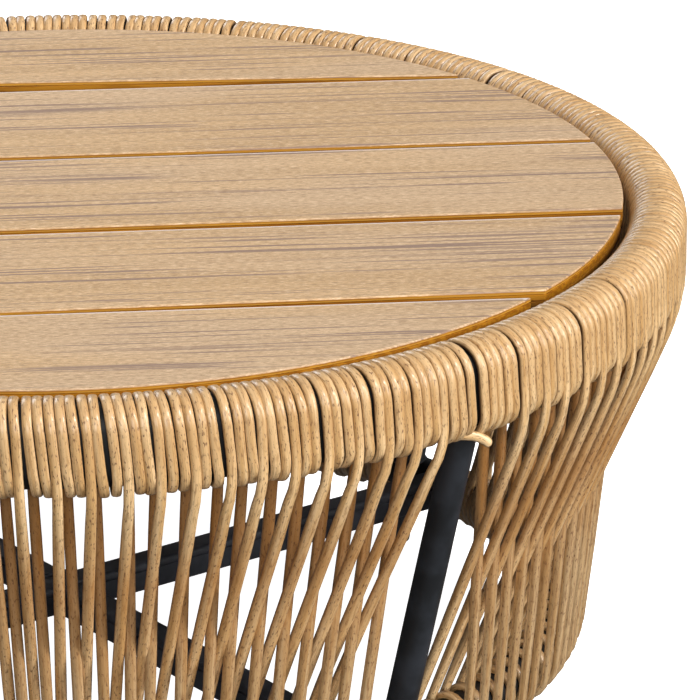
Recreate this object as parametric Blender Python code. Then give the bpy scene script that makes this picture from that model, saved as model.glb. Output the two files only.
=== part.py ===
"""Round wicker coffee table: a slatted top dropped into a cord-wrapped rim, cord strands running down
to a smaller wrapped ring, four legs leaning in from the rim to the floor, and a cross between the legs.

Metres, +Z up, planks along X, origin on the floor under the middle of the table.
"""

import math

import bmesh
import bpy
import numpy as np
from mathutils import Matrix

GAP = 0.0003                # clearance left between touching pieces

# Slatted top, front plank first
TOP_HEIGHT = 0.320          # floor to the planks' upper face
TOP_RADIUS = 0.360
PLANK_COUNT = 5
PLANK_PITCH = 0.149
FIRST_GROOVE_Y = -0.230     # back edge of the front plank
GROOVE_WIDTH = (0.0075, 0.0105, 0.0085, 0.0210)     # each open gap, at the middle of its length
GROOVE_FLARE = (0.019, 0.008, 0.0, -0.045)          # how fast it widens towards +X
PLANK_THICK = 0.014
PLANK_EASE = 0.0015         # eased arris round each plank
ARC_STEP = math.radians(7.5)

# Battens that tie the planks together, and their screws
BATTEN_X = 0.170
BATTEN_LENGTH = 0.586
BATTEN_WIDTH = 0.030
BATTEN_THICK = 0.005
BATTEN_CORNER = 0.004
SCREW_Y = (-0.272, -0.165, -0.0015, 0.165, 0.272)    # one screw line for each plank
SCREW_RADIUS = 0.002
SCREW_HEAD_RADIUS = 0.004
SCREW_HEAD_THICK = 0.0028
SCREW_BITE = 0.009          # depth of thread in the wood
SCREW_HOLE_RADIUS = 0.0026
SCREW_SIDES = 8
CUT_OVER = 0.005            # how far a drill stands out of what it cuts
PILOT_DEPTH = SCREW_BITE + 0.001

# Rim: flat oval steel tube, and the cord wound over it
RING_STEPS = 48
RIM_RADIUS = 0.382
RIM_HEIGHT = 0.2937
RIM_HALF_WIDTH = 0.014
RIM_HALF_TALL = 0.025
RIM_CORNER = 0.013
TUBE_WALL = 0.0015
CORD_THICK = 0.004

# Lower ring: round steel tube inside the foot of the weave
BASE_RADIUS = 0.318
BASE_HEIGHT = 0.045
BASE_TUBE_RADIUS = 0.0127

# Legs: round tubes leaning in from the rim to the floor, let into the lower ring on the way
LEG_TURN = math.radians(38.4)
LEG_RADIUS = 0.0095
LEG_LEAN = math.atan(0.2737)
LEG_FLOOR_RADIUS = 0.2986   # where a leg's axis meets the floor
LEG_TOP_HEIGHT = 0.274
VENT_RADIUS = 0.0045        # hole from each leg into the hollow rim
VENT_RING_RADIUS = 0.376
VENT_SIDES = 8
VENT_REACH = 0.006          # the drill goes this far above and below the rim's underside
COPE_FROM, COPE_TO = 0.010, 0.090   # heights between which the lower ring is coped round a leg

# Plastic cap in the foot of each leg
GLIDE_TALL = 0.0045
GLIDE_PLUG_RADIUS = 0.0074
GLIDE_PLUG_TOP = 0.018

# Square tube crosses: one under the planks, one inside the lower ring
BAR_SIDE = 0.020
BAR_CORNER = 0.003
BASE_BAR_TURN = math.radians(32)
BASE_BAR_HEIGHT = 0.046
BASE_BAR_REACH = 0.304
TOP_BAR_REACH = RIM_RADIUS - RIM_HALF_WIDTH - 0.0012

# Woven side: strands as (radius, height) routes from a side of the rim to the ring's other side
STRANDS_PER_QUARTER = 9
STRAND_WIDTH = 0.006
STRAND_THICK = 0.003
OUTER_ROUTE = ((0.3980, 0.276), (0.3970, 0.256), (0.3025, 0.050))
INNER_ROUTE = ((0.3650, 0.3055), (0.3405, 0.070), (0.3332, 0.043))

COLOURS = {
    "plank": ((0.60, 0.44, 0.26), 0.55, 0.0),
    "cord": ((0.58, 0.38, 0.17), 0.45, 0.0),
    "frame": ((0.022, 0.024, 0.026), 0.45, 0.6),
    "zinc": ((0.55, 0.56, 0.58), 0.35, 1.0),
    "glide": ((0.03, 0.03, 0.032), 0.6, 0.0),
}


def clear_scene():
    for item in list(bpy.data.objects):
        bpy.data.objects.remove(item, do_unlink=True)


def finish_for(name, kind):
    """A Principled material of the piece's own."""
    colour, roughness, metallic = COLOURS[kind]
    material = bpy.data.materials.new(name + "_finish")
    material.use_nodes = True
    shader = material.node_tree.nodes["Principled BSDF"]
    shader.inputs["Base Color"].default_value = (*colour, 1.0)
    shader.inputs["Roughness"].default_value = roughness
    shader.inputs["Metallic"].default_value = metallic
    return material


def new_piece(name, points, faces, kind=None, place=None):
    """Mesh object from points and faces; without a kind it is a hidden cutter."""
    mesh = bpy.data.meshes.new(name)
    mesh.from_pydata([tuple(p) for p in points], [], faces)
    if place is not None:
        mesh.transform(place)
    mesh.validate()
    piece = bpy.data.objects.new(name, mesh)
    bpy.context.collection.objects.link(piece)
    if kind is None:
        piece.hide_render = True
        piece.display_type = "WIRE"
    else:
        mesh.materials.append(finish_for(name, kind))
    return piece


def smooth(piece, angle=40):
    piece.data.shade_smooth()
    piece.data.set_sharp_from_angle(angle=math.radians(angle))


def combine(piece, other, operation):
    """Cut or join with an exact boolean that stays live on the piece."""
    step = piece.modifiers.new(operation.lower(), "BOOLEAN")
    step.operation = operation
    step.solver = "EXACT"
    step.object = other


def turned(angle, radius=0.0, height=0.0):
    """Place a piece at an angle round the table's axis, its own X pointing outwards."""
    return Matrix.Rotation(angle, 4, "Z") @ Matrix.Translation((radius, 0, height))


def quads_between(lower, upper):
    """Side faces between two loops of the same length, facing out for a loop that runs anticlockwise."""
    count = len(lower)
    return [(lower[i], lower[(i + 1) % count], upper[(i + 1) % count], upper[i]) for i in range(count)]


def lathe(name, profile, kind, place=None, steps=16):
    """Solid turned about Z from (radius, height) points; radius 0 closes an end, a bored part runs round."""
    points, loops = [], []
    angles = np.arange(steps) * 2 * math.pi / steps
    for radius, height in profile:
        if radius == 0:
            loops.append([len(points)])
            points.append((0, 0, height))
            continue
        loops.append(list(range(len(points), len(points) + steps)))
        points.extend((radius * math.cos(a), radius * math.sin(a), height) for a in angles)
    bored = profile[0][0] > 0 and profile[-1][0] > 0
    pairs = list(zip(loops, loops[1:]))
    if bored:
        pairs.append((loops[-1], loops[0]))
    faces = []
    for low, high in pairs:
        if len(low) == 1:
            faces.extend((low[0], high[(i + 1) % steps], high[i]) for i in range(steps))
        elif len(high) == 1:
            faces.extend((low[i], low[(i + 1) % steps], high[0]) for i in range(steps))
        else:
            faces.extend(quads_between(low, high))
    piece = new_piece(name, points, faces, kind, place)
    smooth(piece)
    return piece


def rounded_outline(half_x, half_y, corner, per_corner):
    """Anticlockwise rounded rectangle, with per_corner points on each quarter arc."""
    outline = []
    for quarter in range(4):
        centre_x = (half_x - corner) * (1 if quarter in (0, 3) else -1)
        centre_y = (half_y - corner) * (1 if quarter in (0, 1) else -1)
        for i in range(per_corner):
            angle = math.pi / 2 * (quarter + i / (per_corner - 1))
            outline.append((centre_x + corner * math.cos(angle), centre_y + corner * math.sin(angle)))
    return outline


def circle_outline(radius, count):
    return [(radius * math.cos(2 * math.pi * i / count), radius * math.sin(2 * math.pi * i / count))
            for i in range(count)]


def swept_points(outline, radius, height, angles):
    """Carry a (radial, vertical) outline round the axis: one loop of points for each angle."""
    flat = np.array(outline)
    r = radius + flat[:, 0]
    loops = [np.stack([r * math.cos(a), r * math.sin(a), height + flat[:, 1]], 1) for a in angles]
    return np.concatenate(loops)


def band(start, count, steps, closed, outwards=True):
    """Faces of a swept skin whose points begin at start."""
    faces = []
    for s in range(steps if closed else steps - 1):
        here = start + s * count
        there = start + ((s + 1) % steps) * count
        for i in range(count):
            j = (i + 1) % count
            quad = (here + i, here + j, there + j, there + i)
            faces.append(quad[::-1] if outwards else quad)
    return faces


def hollow_ring(name, outer, inner, radius, height, phase):
    """Full ring of tube: an outer skin and an inner skin, opened later by the vent holes."""
    angles = phase + np.arange(RING_STEPS) * 2 * math.pi / RING_STEPS
    points = np.concatenate([swept_points(outer, radius, height, angles),
                             swept_points(inner, radius, height, angles)])
    faces = band(0, len(outer), RING_STEPS, True)
    faces += band(len(outer) * RING_STEPS, len(inner), RING_STEPS, True, outwards=False)
    return new_piece(name, points, faces, "frame")


def solid_ring(name, outline, radius, height, phase):
    """Full solid ring used as a cutter."""
    angles = phase + np.arange(RING_STEPS) * 2 * math.pi / RING_STEPS
    return new_piece(name, swept_points(outline, radius, height, angles),
                     band(0, len(outline), RING_STEPS, True))


def sleeve_mesh(outer, inner, radius, height, angles):
    """Points and faces of an open-ended sleeve of wound cord over part of a ring."""
    count, steps = len(outer), len(angles)
    points = np.concatenate([swept_points(outer, radius, height, angles),
                             swept_points(inner, radius, height, angles)])
    far = count * steps
    faces = band(0, count, steps, False) + band(far, count, steps, False, outwards=False)
    for i in range(count):
        j = (i + 1) % count
        faces.append((i, j, far + j, far + i))
        last = (steps - 1) * count
        faces.append((last + i, far + last + i, far + last + j, last + j))
    return points, faces


def box_tube(name, start, end, turn, height):
    """Square tube along its own X from start to end, open at both ends."""
    outer = rounded_outline(BAR_SIDE / 2, BAR_SIDE / 2, BAR_CORNER, 2)
    inner_half = BAR_SIDE / 2 - TUBE_WALL
    inner = rounded_outline(inner_half, inner_half, BAR_CORNER - TUBE_WALL, 2)
    count = len(outer)
    points = [(x, y, z) for outline in (outer, inner) for x in (start, end) for y, z in outline]
    a, b, c, d = (list(range(k * count, (k + 1) * count)) for k in range(4))
    faces = quads_between(a, b) + [f[::-1] for f in quads_between(c, d)]
    faces += quads_between(c, a) + quads_between(b, d)
    smooth(new_piece(name, points, faces, "frame", turned(turn, 0, height)))


def cross_of_bars(prefix, turn, height, reach):
    """One through bar and two half bars butted against it."""
    box_tube(prefix + "_bar_long", -reach, reach, turn, height)
    for number in (1, 2):
        half_turn = turn + math.pi / 2 * (2 * number - 1)
        box_tube(f"{prefix}_bar_half_{number}", BAR_SIDE / 2 + GAP, reach, half_turn, height)


def edge_ends(edge, shift, radius):
    """Angles at which a plank edge y = start + slope x, moved by shift, meets the round outline."""
    start, slope = edge
    facing = math.pi / 2 + math.atan(slope)
    spread = math.acos((start * math.cos(math.atan(slope)) + shift) / radius)
    return facing - spread, facing + spread


def plank_outline(front, back, inset):
    """Outline of the strip between two straight edges inside the round top, inset all round."""
    radius = TOP_RADIUS - inset
    first, last_left = edge_ends(front, inset, radius) if front else (-math.pi / 2, 3 * math.pi / 2)
    last, first_left = edge_ends(back, -inset, radius) if back else (math.pi / 2, math.pi / 2)
    steps = max(3, round((last - first) / ARC_STEP))
    angles = np.concatenate([np.linspace(first, last, steps + 1), np.linspace(first_left, last_left, steps + 1)])
    xy = [(radius * math.cos(a), radius * math.sin(a)) for a in angles]
    return [p for p, q in zip(xy, xy[-1:] + xy[:-1]) if math.dist(p, q) > 1e-6]


def plank_edges():
    """Front and back edge of each plank as (y in the middle, slope); None on the round outside."""
    fronts, backs = [None], []
    for number in range(PLANK_COUNT - 1):
        near = FIRST_GROOVE_Y + number * PLANK_PITCH
        backs.append((near, 0.0))
        fronts.append((near + GROOVE_WIDTH[number], GROOVE_FLARE[number]))
    return list(zip(fronts, backs + [None]))


def make_planks():
    bottom = TOP_HEIGHT - PLANK_THICK
    levels = [(bottom, PLANK_EASE), (bottom + PLANK_EASE, 0),
              (TOP_HEIGHT - PLANK_EASE, 0), (TOP_HEIGHT, PLANK_EASE)]
    for number, (front, back) in enumerate(plank_edges()):
        points, loops = [], []
        for z, inset in levels:
            outline = plank_outline(front, back, inset)
            loops.append(list(range(len(points), len(points) + len(outline))))
            points.extend((x, y, z) for x, y in outline)
        faces = [tuple(loops[0][::-1]), tuple(loops[-1])]
        for lower, upper in zip(loops, loops[1:]):
            faces += quads_between(lower, upper)
        plank = new_piece(f"plank_{number + 1}", points, faces, "plank")
        for side in (-1, 1):
            place = Matrix.Translation((side * BATTEN_X, SCREW_Y[number], bottom))
            pilot = lathe(f"pilot_{number}_{side}", [(0, -CUT_OVER), (SCREW_HOLE_RADIUS, -CUT_OVER),
                          (SCREW_HOLE_RADIUS, PILOT_DEPTH), (0, PILOT_DEPTH)], None, place, SCREW_SIDES)
            combine(plank, pilot, "DIFFERENCE")
        smooth(plank, 30)


def make_battens_and_screws():
    top = TOP_HEIGHT - PLANK_THICK - GAP
    under = top - BATTEN_THICK
    for side, word in ((-1, "left"), (1, "right")):
        outline = rounded_outline(BATTEN_WIDTH / 2, BATTEN_LENGTH / 2, BATTEN_CORNER, 2)
        low = list(range(len(outline)))
        high = [i + len(outline) for i in low]
        points = [(x, y, z) for z in (under, top) for x, y in outline]
        faces = [tuple(low[::-1]), tuple(high)] + quads_between(low, high)
        place = Matrix.Translation((side * BATTEN_X, 0, 0))
        batten = new_piece("batten_" + word, points, faces, "frame", place)
        for number in range(PLANK_COUNT):
            here = Matrix.Translation((side * BATTEN_X, SCREW_Y[number], under))
            hole_top = BATTEN_THICK + CUT_OVER
            hole = lathe(f"hole_{word}_{number}", [(0, -CUT_OVER), (SCREW_HOLE_RADIUS, -CUT_OVER),
                         (SCREW_HOLE_RADIUS, hole_top), (0, hole_top)], None, here, SCREW_SIDES)
            combine(batten, hole, "DIFFERENCE")
            tip = BATTEN_THICK + GAP + SCREW_BITE
            lathe(f"plank_screw_{word}_{number + 1}",
                  [(0, -SCREW_HEAD_THICK - GAP), (SCREW_HEAD_RADIUS * 0.6, -SCREW_HEAD_THICK - GAP),
                   (SCREW_HEAD_RADIUS, -GAP - 0.001), (SCREW_HEAD_RADIUS, -GAP),
                   (SCREW_RADIUS, -GAP), (SCREW_RADIUS, tip - 0.002), (0, tip)], "zinc", here, SCREW_SIDES)


def rim_outline(extra):
    return rounded_outline(RIM_HALF_WIDTH + extra, RIM_HALF_TALL + extra, RIM_CORNER + extra, 3)


def vents():
    """Four short upright drills, one over each leg, together in one cutter."""
    points, faces = [], []
    for quarter in range(4):
        place = turned(LEG_TURN + quarter * math.pi / 2, VENT_RING_RADIUS, RIM_HEIGHT - RIM_HALF_TALL)
        start = len(points)
        for z in (-VENT_REACH, VENT_REACH):
            for x, y in circle_outline(VENT_RADIUS, VENT_SIDES):
                points.append((place @ Matrix.Translation((x, y, z))).translation)
        low = list(range(start, start + VENT_SIDES))
        high = [i + VENT_SIDES for i in low]
        faces += [tuple(low[::-1]), tuple(high)] + quads_between(low, high)
    return new_piece("rim_vents", points, faces)


def make_rings():
    half_step = math.pi / RING_STEPS
    inner = rounded_outline(RIM_HALF_WIDTH - TUBE_WALL, RIM_HALF_TALL - TUBE_WALL, RIM_CORNER - TUBE_WALL, 2)
    rim = hollow_ring("rim_tube", rim_outline(0), inner, RIM_RADIUS, RIM_HEIGHT, LEG_TURN + half_step)
    combine(rim, vents(), "DIFFERENCE")
    smooth(rim, 60)
    phase = (LEG_TURN + BASE_BAR_TURN) / 2
    base = hollow_ring("lower_ring_tube", circle_outline(BASE_TUBE_RADIUS, 10),
                       circle_outline(BASE_TUBE_RADIUS - TUBE_WALL, 8), BASE_RADIUS, BASE_HEIGHT, phase)
    smooth(base, 60)
    return base


def leaning(quarter):
    """Place that leans upright turned work along a leg, keeping its end faces level."""
    slant = Matrix(((1 / math.cos(LEG_LEAN), 0, math.tan(LEG_LEAN), 0), (0, 1, 0, 0), (0, 0, 1, 0), (0, 0, 0, 1)))
    return turned(LEG_TURN + quarter * math.pi / 2, LEG_FLOOR_RADIUS) @ slant


def make_legs(base):
    """Leaning tubes fitted to the underside of the rim; the lower ring is coped round each of them."""
    rim_cut = solid_ring("rim_saddle", rim_outline(GAP), RIM_RADIUS, RIM_HEIGHT,
                         LEG_TURN + math.pi / RING_STEPS)
    bore = LEG_RADIUS - TUBE_WALL
    foot = GLIDE_TALL + GAP
    profile = [(LEG_RADIUS, foot), (LEG_RADIUS, LEG_TOP_HEIGHT), (bore, LEG_TOP_HEIGHT), (bore, foot)]
    cope_radius = LEG_RADIUS + GAP
    cope = [(0, COPE_FROM), (cope_radius, COPE_FROM), (cope_radius, COPE_TO), (0, COPE_TO)]
    for quarter in range(4):
        leg = lathe(f"leg_{quarter + 1}", profile, "frame", leaning(quarter))
        combine(leg, rim_cut, "DIFFERENCE")
        combine(base, lathe(f"ring_cope_{quarter + 1}", cope, None, leaning(quarter)), "DIFFERENCE")


def make_glides():
    """Plastic caps that the table stands on, each with a plug up the bore of its leg."""
    cap = LEG_RADIUS - 0.0003
    profile = [(0, 0), (cap - 0.001, 0), (cap, 0.001), (cap, GLIDE_TALL), (GLIDE_PLUG_RADIUS, GLIDE_TALL),
               (GLIDE_PLUG_RADIUS, GLIDE_PLUG_TOP), (0, GLIDE_PLUG_TOP)]
    for quarter in range(4):
        lathe(f"foot_glide_{quarter + 1}", profile, "glide", leaning(quarter))


def strand_strip(points, faces, turn, route):
    """Flat strand along a (radius, height) route in the upright plane at this angle."""
    route = np.array(route)
    runs = np.diff(route, axis=0)
    runs /= np.linalg.norm(runs, axis=1)[:, None]
    ways = np.concatenate([runs[:1], (runs[:-1] + runs[1:]) / 2, runs[-1:]])
    loops = []
    for (radius, height), (way_r, way_z) in zip(route, ways):
        loops.append(list(range(len(points), len(points) + 4)))
        for out, side in ((1, -1), (1, 1), (-1, 1), (-1, -1)):
            r = radius - way_z * out * STRAND_THICK / 2
            z = height + way_r * out * STRAND_THICK / 2
            local = Matrix.Translation((r, side * STRAND_WIDTH / 2, z))
            points.append((Matrix.Rotation(turn, 4, "Z") @ local).translation)
    loops.reverse()
    faces += [tuple(loops[0][::-1]), tuple(loops[-1])]
    for low, high in zip(loops, loops[1:]):
        faces += quads_between(low, high)


def make_windings():
    """One cord winding for each quarter: sleeve on the rim, sleeve on the ring, strands between."""
    step = 2 * math.pi / RING_STEPS
    base_phase = (LEG_TURN + BASE_BAR_TURN) / 2
    cover = CORD_THICK + GAP
    for quarter in range(4):
        turn = quarter * math.pi / 2
        rim_angles = LEG_TURN + turn + step / 2 + np.arange(RING_STEPS // 4) * step
        base_angles = base_phase + turn + step + np.arange(RING_STEPS // 4 - 1) * step
        points, faces = sleeve_mesh(rim_outline(cover), rim_outline(GAP), RIM_RADIUS, RIM_HEIGHT, rim_angles)
        more, more_faces = sleeve_mesh(circle_outline(BASE_TUBE_RADIUS + cover, 10),
                                       circle_outline(BASE_TUBE_RADIUS + GAP, 10),
                                       BASE_RADIUS, BASE_HEIGHT, base_angles)
        faces += [tuple(i + len(points) for i in face) for face in more_faces]
        points = np.concatenate([points, more])
        winding = new_piece(f"winding_{quarter + 1}", points, faces, "cord")
        strand_points, strand_faces = [], []
        spacing = (base_angles[-1] - base_angles[0]) / (STRANDS_PER_QUARTER + 0.5)
        for i in range(STRANDS_PER_QUARTER):
            here = base_angles[0] + spacing * (i + 0.5)
            strand_strip(strand_points, strand_faces, here, OUTER_ROUTE)
            strand_strip(strand_points, strand_faces, here + spacing / 2, INNER_ROUTE)
        strands = new_piece(f"strands_{quarter + 1}", strand_points, strand_faces)
        combine(winding, strands, "UNION")
        smooth(winding)


def main():
    clear_scene()
    make_planks()
    make_battens_and_screws()
    make_legs(make_rings())
    cross_of_bars("top", LEG_TURN, TOP_HEIGHT - PLANK_THICK - BATTEN_THICK - 2 * GAP - BAR_SIDE / 2,
                  TOP_BAR_REACH)
    cross_of_bars("lower", BASE_BAR_TURN, BASE_BAR_HEIGHT, BASE_BAR_REACH)
    make_glides()
    make_windings()


main()
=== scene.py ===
"""Looks of the round wicker coffee table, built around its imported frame.

Metres, +Z up, planks along X, origin on the floor under the middle of the table. Heights and radii are
read from the frame's own nodes. Angles in degrees are turns round the table's axis unless said otherwise.
"""

import math

import bpy
import numpy as np
from mathutils import Matrix, Vector


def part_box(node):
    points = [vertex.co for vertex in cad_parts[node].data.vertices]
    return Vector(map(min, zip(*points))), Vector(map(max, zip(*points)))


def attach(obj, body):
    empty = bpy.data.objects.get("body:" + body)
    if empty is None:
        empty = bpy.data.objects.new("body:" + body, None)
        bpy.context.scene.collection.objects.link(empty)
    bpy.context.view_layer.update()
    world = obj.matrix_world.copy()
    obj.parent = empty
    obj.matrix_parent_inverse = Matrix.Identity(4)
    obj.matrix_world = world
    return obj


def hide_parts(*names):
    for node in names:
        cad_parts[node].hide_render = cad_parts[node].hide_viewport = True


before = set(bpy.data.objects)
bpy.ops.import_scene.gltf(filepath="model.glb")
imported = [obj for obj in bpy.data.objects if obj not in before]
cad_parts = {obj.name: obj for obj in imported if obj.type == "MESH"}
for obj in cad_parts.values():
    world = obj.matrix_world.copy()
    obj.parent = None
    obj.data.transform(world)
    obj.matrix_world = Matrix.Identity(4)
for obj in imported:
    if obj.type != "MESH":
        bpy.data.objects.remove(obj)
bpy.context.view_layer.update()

# Cord
CORD_WIDE = 0.0062          # across the flat of one cord, wound tight
CORD_THICK = 0.0046
STRAND_WIDE = 0.0069        # fuller and rounder where it runs free
STRAND_THICK = 0.0061
CORD_OFF = 0.0021           # middle of the cord off the tube that it is wound on
CORD_SIDES = 12
AROUND = 2 * np.pi * np.arange(CORD_SIDES) / CORD_SIDES - np.pi / 2     # from the side on the steel
SQUARED = (0.75, 0.80)      # shape of the section across and through: 1 is an ellipse, less is squarer
SWELL = 0.03                # share by which the cord's thickness wanders along it
WEAVE_SEED = 7

# Where the turns of cord go, in degrees round the table's axis
LEG_TURN = 38.4             # first leg, anticlockwise from +X; the others follow every quarter
BAR_TURN = 32.0             # long bar of the lower cross
SEAM = 0.35                 # what is left open between two quarters' cords
FIRST_TURN = -2.0           # from a leg to the first turn of its quarter, which passes just before it
CLOSE_FROM, CLOSE_BY = 45.0, 0.85   # past this turn the strands' feet stand closer, by this share
SLOTS = 93                  # turns of cord on the rim in one quarter
SLOT = (90.0 - SEAM) / SLOTS
PLAIN_TURNS = 5             # turns by the leg that have no strand
STRAND_SETS = 29
CROWDING = 0.034            # share of a slot by which each turn crowds the one before, up to a wider gap
GAP_EVERY = (4, 12)         # turns between two wider gaps, at least and below
# How far each key of a turn may be shaken along the rim
KEY_SHAKE = {"crown": 0.06, "face": 0.06, "low": 0.09, "under": 0.12, "strand_top": 0.10,
             "strand_foot": 0.26, "ring": 0.20}

# A strand's way down and up
STRAND_START = 0.0165       # below the rim's middle, where the strand leaves its face
STRAND_BEND = 0.0627        # radius of the curve by which it leaves
STRAND_LEAN = 24.5          # degrees off upright, going down inwards
STRAND_RISE = 6.2           # degrees off upright, coming up
WOUND_TO = 714.0            # degrees round the lower ring's tube where it comes off
LAP_FROM, LAP_OVER = 470.0, 110.0   # degrees where it starts to lie over its own first turn, and takes
# How far the lap lies off the ring's tube, sideways and down, in metres
LAP_OUT, LAP_ACROSS, LAP_DOWN = 0.0022, 0.0025, 0.0010

# Steel
RIM_CORNER = 0.013
RIM_ROOM = 0.012            # below this far under the rim's middle a cord has to go round a leg
RING_TUBE = 0.0127
LEG_SLOPE = 0.2737          # how far a leg leans out for each metre of height
LEG_RADIUS = 0.0095
LEG_STOP = 0.0245           # below the rim's middle, inside the rim tube
BAR_HALF = 0.010
BAR_CORNER = 0.003
BAR_EASE = 0.0006           # eased end of a bar
WELD_OFF = 0.0004           # middle of a weld bead off the steel
LEG_WELD, CROSS_WELD, RING_WELD = 0.0019, 0.0016, 0.0018    # radii of the beads
RIPPLE = 0.10               # unevenness of a bead, as a share of its radius

# Planks
ARRIS = 0.0011
ARC_POINTS = 60             # points on each round end of a plank
FRAME_EASE = 0.0015         # eased arris of the frame's own planks
LINE_TOP, LINE_DEEP, LINE_APART = 0.0026, 0.0006, 0.0042    # two fine lines milled in a plank's side
ARRIS_MARGIN = 0.002            # flat margin beside the arris, over which the painted highlight on the back edge fades

# Stage
FLOOR_HALF = 30.0
LAMPS = (("key", (3.0, -2.2, 3.1), 1.88, 12, (1.0, 0.98, 0.95)),
         ("front", (0.0, -3.0, 1.0), 1.65, 35, (1.0, 0.985, 0.96)),
         ("right", (3.0, -1.1, 0.7), 1.85, 30, (1.0, 0.985, 0.96)),
         ("back", (-1.2, 3.0, 1.6), 0.85, 30, (0.96, 0.98, 1.0)))
SKY_LOW = (0.13, 0.13, 0.135, 1.0)
SKY_MIDDLE = (0.34, 0.35, 0.36, 1.0)
SKY_HIGH = (0.97, 0.98, 1.0, 1.0)
SKY_STRENGTH = 0.66

# Camera, as seen from a little to the left of straight ahead
VIEW_TURN = math.radians(-1.6)
CAMERA_OFF = (0.0, -3.339, 1.099)
AIM_OFF = (0.1875, 0.0, -0.1111)
CAMERA_ROLL = math.radians(-0.32)
LENS = 285.6
SENSOR = 36.0


# ---------------------------------------------------------------- reading the frame

def points_of(node):
    """Every vertex of a frame node as an (n, 3) array."""
    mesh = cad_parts[node].data
    flat = np.empty(len(mesh.vertices) * 3, np.float32)
    mesh.vertices.foreach_get("co", flat)
    return flat.reshape(-1, 3).astype(float)


def reach(node):
    """Least and greatest distance from the table's axis of a ring-shaped node, and its lowest and highest
    point."""
    points = points_of(node)
    away = np.hypot(points[:, 0], points[:, 1])
    return away.min(), away.max(), points[:, 2].min(), points[:, 2].max()


def foot_of(leg):
    """Distance from the table's axis to the middle of a leg where it stands on the floor."""
    cap = points_of(f"foot_glide_{leg}")
    return np.hypot(*cap[cap[:, 2] < 0.0001, :2].mean(0))


# ---------------------------------------------------------------- meshes from arrays

def skin(name, rings, finish, loop=False, way=None, sharp=None):
    """Carry closed cross sections along a path: rings is (steps, sides, 3), each ring joined to the next
    side by side, and the last to the first when loop is set. Flat caps close an open run. way gives each
    ring's distance along the path, stored as the map's first coordinate; the second runs round the ring."""
    steps, sides = rings.shape[:2]
    runs = steps if loop else steps - 1
    row = np.arange(runs)[:, None]
    column = np.arange(sides)[None, :]
    after = (row + 1) % steps
    beside = (column + 1) % sides
    quads = np.stack([row * sides + column, row * sides + beside, after * sides + beside,
                      after * sides + column], -1).reshape(-1, 4)
    faces = [quads.ravel()]
    starts = [np.arange(len(quads)) * 4]
    sizes = [np.full(len(quads), 4)]
    if not loop:
        first = np.arange(sides)[::-1]
        last = (steps - 1) * sides + np.arange(sides)
        faces += [first, last]
        starts.append(np.array([len(quads) * 4, len(quads) * 4 + sides]))
        sizes.append(np.full(2, sides))
    corners = np.concatenate(faces)
    mesh = bpy.data.meshes.new(name)
    mesh.vertices.add(steps * sides)
    mesh.vertices.foreach_set("co", rings.reshape(-1).astype(np.float32))
    mesh.loops.add(len(corners))
    mesh.loops.foreach_set("vertex_index", corners.astype(np.int32))
    mesh.polygons.add(sum(len(s) for s in sizes))
    mesh.polygons.foreach_set("loop_start", np.concatenate(starts).astype(np.int32))
    mesh.polygons.foreach_set("loop_total", np.concatenate(sizes).astype(np.int32))
    if way is not None:
        far = np.append(way, 2 * way[-1] - way[-2])
        along = np.stack([np.broadcast_to(far[:-1][row], (runs, sides)),
                          np.broadcast_to(far[:-1][row], (runs, sides)),
                          np.broadcast_to(far[row + 1], (runs, sides)),
                          np.broadcast_to(far[row + 1], (runs, sides))], -1)
        here = np.broadcast_to(column / sides, (runs, sides))
        around = np.stack([here, here + 1 / sides, here + 1 / sides, here], -1)
        pairs = np.stack([along, around], -1).reshape(-1, 2)
        spare = np.zeros((len(corners) - len(pairs), 2))
        chart = mesh.uv_layers.new(name="along_cord")
        chart.data.foreach_set("uv", np.concatenate([pairs, spare]).ravel().astype(np.float32))
    mesh.update(calc_edges=True)
    mesh.validate()
    mesh.shade_smooth()
    if sharp is not None:
        mesh.set_sharp_from_angle(angle=math.radians(sharp))
    mesh.materials.append(finish)
    piece = bpy.data.objects.new(name, mesh)
    bpy.context.scene.collection.objects.link(piece)
    return piece


def fit(piece, slot, *nodes):
    """The piece rides on the table and stands for the frame nodes named, which it hides. The slot is not
    used.
    """
    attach(piece, "root")
    if nodes:
        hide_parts(*nodes)


def note(piece, name, values):
    """Write one value for each of the piece's points under a name that its finish reads."""
    layer = piece.data.attributes.new(name, "FLOAT", "POINT")
    layer.data.foreach_set("value", values.astype(np.float32))


def turned(flat, angles):
    """Turn a (radius, height) outline round the table's axis: (sides, 2) points and a list of angles give
    (angles, sides, 3) points."""
    radius = flat[None, :, 0]
    height = np.broadcast_to(flat[None, :, 1], (len(angles), len(flat)))
    return np.stack([radius * np.cos(angles)[:, None], radius * np.sin(angles)[:, None], height], -1)


def bend(centre, radius, start, end, step=15.0):
    """(radius, height) points on part of a circle, from one angle to another in degrees."""
    count = max(2, int(abs(end - start) / step) + 1)
    angles = np.radians(np.linspace(start, end, count))
    return np.stack([centre[0] + radius * np.cos(angles), centre[1] + radius * np.sin(angles)], 1)


def rounded_box(half_x, half_y, corner, per_corner=5):
    """Outline of a rectangle with round corners, anticlockwise round its middle."""
    parts = []
    for number, (sx, sy) in enumerate(((1, 1), (-1, 1), (-1, -1), (1, -1))):
        centre = (sx * (half_x - corner), sy * (half_y - corner))
        parts.append(bend(centre, corner, 90 * number, 90 * number + 90, 90 / (per_corner - 1) - 0.001))
    return np.concatenate(parts)


def unit(lines):
    """Each row at length 1."""
    return lines / np.linalg.norm(lines, axis=1)[:, None]


def square_to(ahead, lines):
    """Each row less its part along the path, at length 1."""
    return unit(lines - ahead * np.sum(lines * ahead, 1)[:, None])


def way_along(path):
    """Distance walked along a path at each of its points."""
    return np.append(0, np.cumsum(np.linalg.norm(np.diff(path, axis=0), axis=1)))


def swept(path, wide, across, thin, deep):
    """Rings along a path: a ring's points stand off the path by across in its wide way and by deep in its
    thin way, both (steps, sides)."""
    return path[:, None] + wide[:, None] * across[..., None] + thin[:, None] * deep[..., None]


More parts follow.
